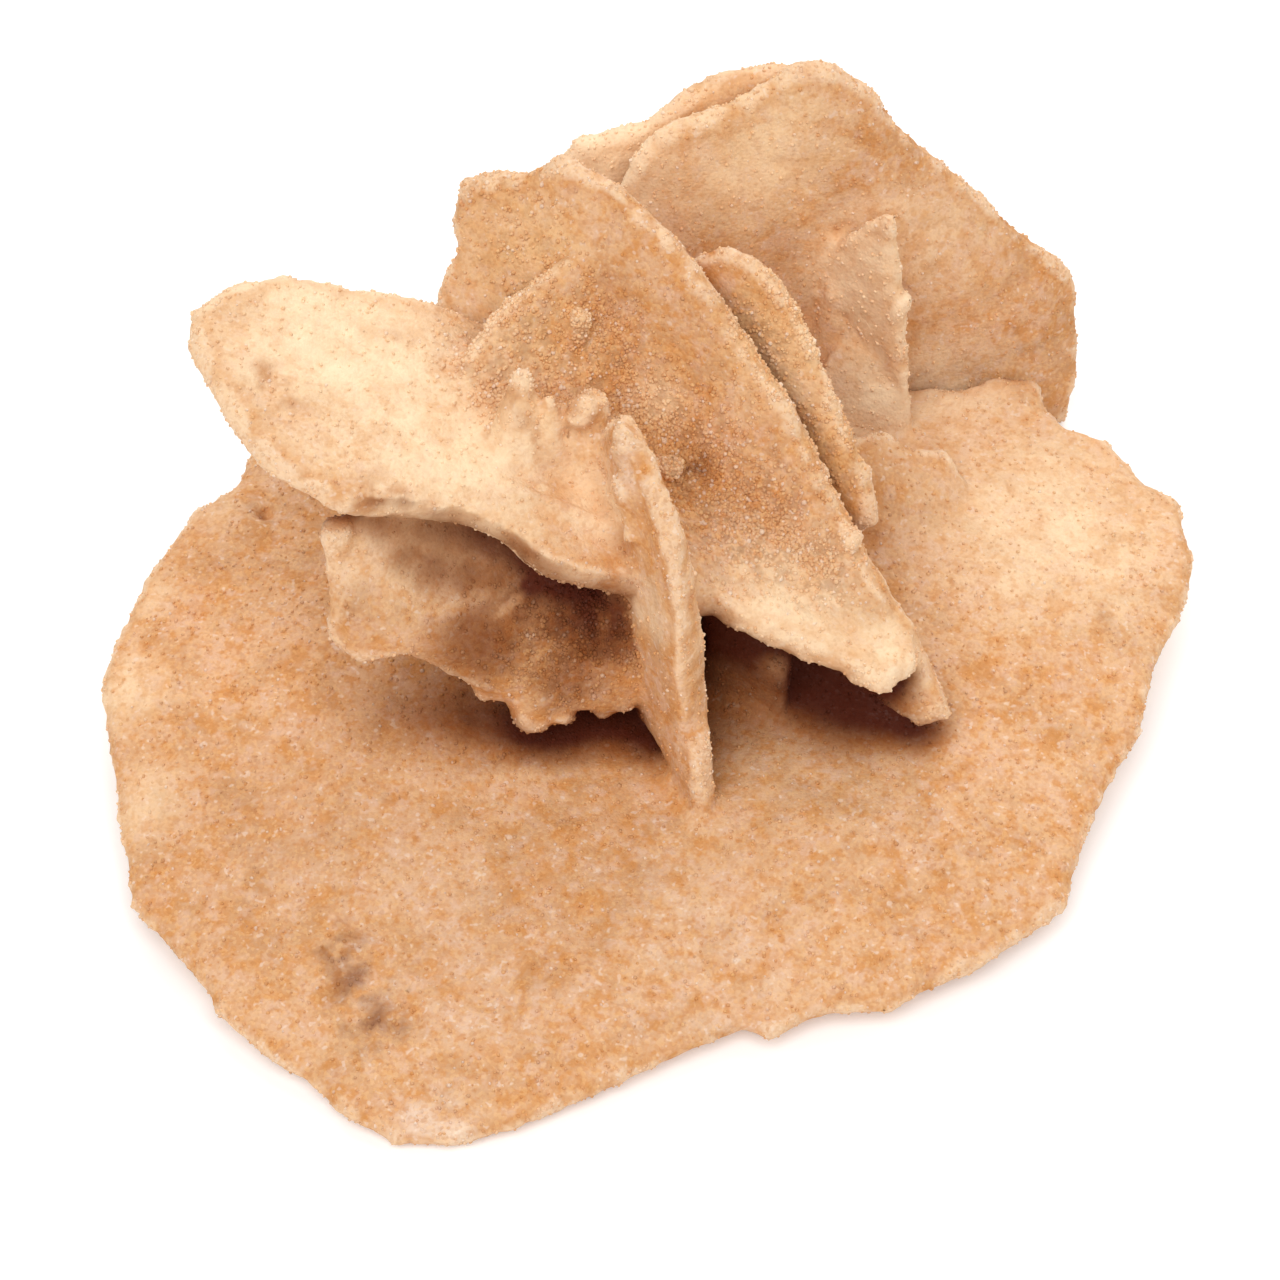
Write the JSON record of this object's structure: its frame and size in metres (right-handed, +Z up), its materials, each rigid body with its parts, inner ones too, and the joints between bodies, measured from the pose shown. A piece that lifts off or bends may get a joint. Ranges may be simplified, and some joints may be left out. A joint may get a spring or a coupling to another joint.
{
  "type": "gypsum sand rose",
  "caption": "Sand-coloured gypsum rosette of intergrown lens-shaped blades standing on one broad tilted disc.",
  "frame": {"origin": "centre of the bounding box at the level it rests on", "axes": "+Z up; -Y towards the thin front rim of the base disc, +Y towards the tall back blades, +X to the right seen from the front"},
  "size_m": [0.058, 0.0572, 0.0283],
  "materials": {
    "sandy_gypsum": "matt, sandy, with fine sparkling grains"
  },
  "bodies": {
    "root": {"sand_rose": "sandy_gypsum"}
  },
  "joints": []
}
